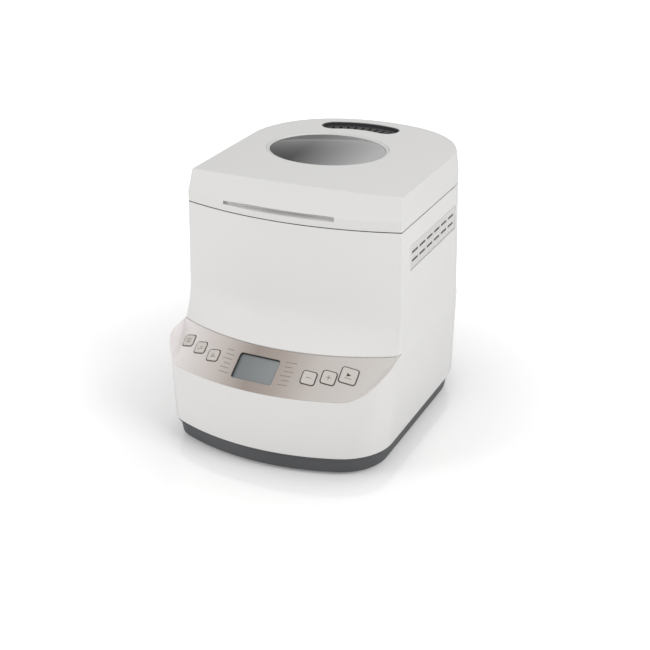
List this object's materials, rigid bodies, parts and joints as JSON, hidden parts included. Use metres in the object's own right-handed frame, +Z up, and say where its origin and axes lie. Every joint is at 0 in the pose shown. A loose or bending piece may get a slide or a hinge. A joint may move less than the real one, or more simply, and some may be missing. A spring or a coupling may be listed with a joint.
{
  "type": "bread machine",
  "caption": "Countertop bread machine with a hinged windowed lid, sloped control ledge with keys and display, and a lift-out pan with a belt-driven kneading paddle.",
  "frame": {"origin": "centre of the footprint at the surface the feet stand on", "axes": "+Z up, -Y is the front with the control ledge, +X is the right side"},
  "size_m": [0.268, 0.368, 0.307],
  "materials": {
    "white": "gloss",
    "lid_white": "gloss",
    "base_grey": "matte",
    "panel": "satin",
    "button": "satin",
    "lcd": "gloss",
    "window": "gloss",
    "ring": "gloss",
    "vent_grey": "matte",
    "grille": "satin",
    "rubber": "matte",
    "steel": "satin",
    "liner": "satin",
    "pan": "non-stick coating",
    "element": "oxidised",
    "board": "satin",
    "motor": "satin",
    "pulley": "satin",
    "seal": "matte",
    "deck": "satin"
  },
  "bodies": {
    "base": {"housing": "white", "base_tray": "base_grey", "foot_front_left": "rubber", "foot_front_right": "rubber", "foot_back_left": "rubber", "foot_back_right": "rubber", "base_screw_1": "steel", "base_screw_2": "steel", "base_screw_3": "steel", "base_screw_4": "steel", "side_vent_grille": "grille", "control_panel": "panel", "lcd_lens": "lcd", "lcd_module": "board", "keypad_board_left": "board", "keypad_board_right": "board", "top_deck": "deck", "oven_liner": "liner", "heating_element": "element", "element_bracket_left": "steel", "element_bracket_right": "steel", "temperature_sensor": "steel", "pan_seat": "steel", "chassis_plate": "steel", "motor_body": "motor", "motor_mounts": "rubber", "power_board": "board", "spindle_bearing": "steel", "drive_belt": "rubber", "cord_gland": "rubber", "hinge_bracket_left": "steel", "hinge_bracket_right": "steel", "hinge_pin_left": "steel", "hinge_pin_right": "steel"},
    "lid": {"lid_shell": "lid_white", "lid_handle": "lid_white", "lid_liner": "liner", "lid_seal": "seal", "window_ring": "ring", "window_glass": "window", "steam_vent": "vent_grey", "hinge_arm_left": "steel", "hinge_arm_right": "steel"},
    "pan": {"bread_pan": "pan", "pan_bearing": "steel"},
    "bail": {"pan_handle": "steel"},
    "paddle": {"paddle_shaft": "steel", "kneading_paddle": "pan"},
    "lower_drive": {"spindle": "steel", "driven_pulley": "pulley"},
    "rotor": {"motor_shaft": "steel", "motor_pulley": "pulley", "cooling_fan": "pulley"},
    "button_menu_key": {"button_menu": "button"},
    "button_size_key": {"button_size": "button"},
    "button_crust_key": {"button_crust": "button"},
    "button_minus_key": {"button_minus": "button"},
    "button_plus_key": {"button_plus": "button"},
    "button_start_key": {"button_start": "button"}
  },
  "joints": [
    {"name": "lid_hinge", "type": "hinge", "parent": "base", "child": "lid", "pos_m": [0, 0.172, 0.262], "axis": [-1, 0, 0], "range_deg": [0, 95]},
    {"name": "pan_lift", "type": "slide", "parent": "base", "child": "pan", "axis": [0, 0, 1], "range_m": [0, 0.018]},
    {"name": "bail_swing", "type": "hinge", "parent": "pan", "child": "bail", "pos_m": [-0.018, 0.047, 0.24], "axis": [1, 0, 0], "range_deg": [0, 7]},
    {"name": "paddle_spin", "type": "hinge", "parent": "pan", "child": "paddle", "pos_m": [-0.018, 0.047, 0.1], "axis": [0, 0, 1], "continuous": true},
    {"name": "spindle_spin", "type": "hinge", "parent": "base", "child": "lower_drive", "pos_m": [-0.018, 0.047, 0.06], "axis": [0, 0, 1], "continuous": true},
    {"name": "motor_spin", "type": "hinge", "parent": "base", "child": "rotor", "pos_m": [0.072, -0.1045, 0.06], "axis": [0, 0, 1], "continuous": true},
    {"name": "press_menu", "type": "slide", "parent": "base", "child": "button_menu_key", "axis": [0.2573, 0.5722, -0.7787], "range_m": [0, 0.0009], "stiffness_N_per_m": 400},
    {"name": "press_size", "type": "slide", "parent": "base", "child": "button_size_key", "axis": [0.2137, 0.5838, -0.7832], "range_m": [0, 0.0009], "stiffness_N_per_m": 400},
    {"name": "press_crust", "type": "slide", "parent": "base", "child": "button_crust_key", "axis": [0.1622, 0.5932, -0.7885], "range_m": [0, 0.0009], "stiffness_N_per_m": 400},
    {"name": "press_minus", "type": "slide", "parent": "base", "child": "button_minus_key", "axis": [-0.1167, 0.6008, -0.7908], "range_m": [0, 0.0009], "stiffness_N_per_m": 400},
    {"name": "press_plus", "type": "slide", "parent": "base", "child": "button_plus_key", "axis": [-0.167, 0.5951, -0.7861], "range_m": [0, 0.0009], "stiffness_N_per_m": 400},
    {"name": "press_start", "type": "slide", "parent": "base", "child": "button_start_key", "axis": [-0.2174, 0.5887, -0.7786], "range_m": [0, 0.0009], "stiffness_N_per_m": 400}
  ],
  "couplings": [
    {"joint": "paddle_spin", "follows": "spindle_spin", "ratio": 1},
    {"joint": "motor_spin", "follows": "spindle_spin", "ratio": 3.6829}
  ]
}
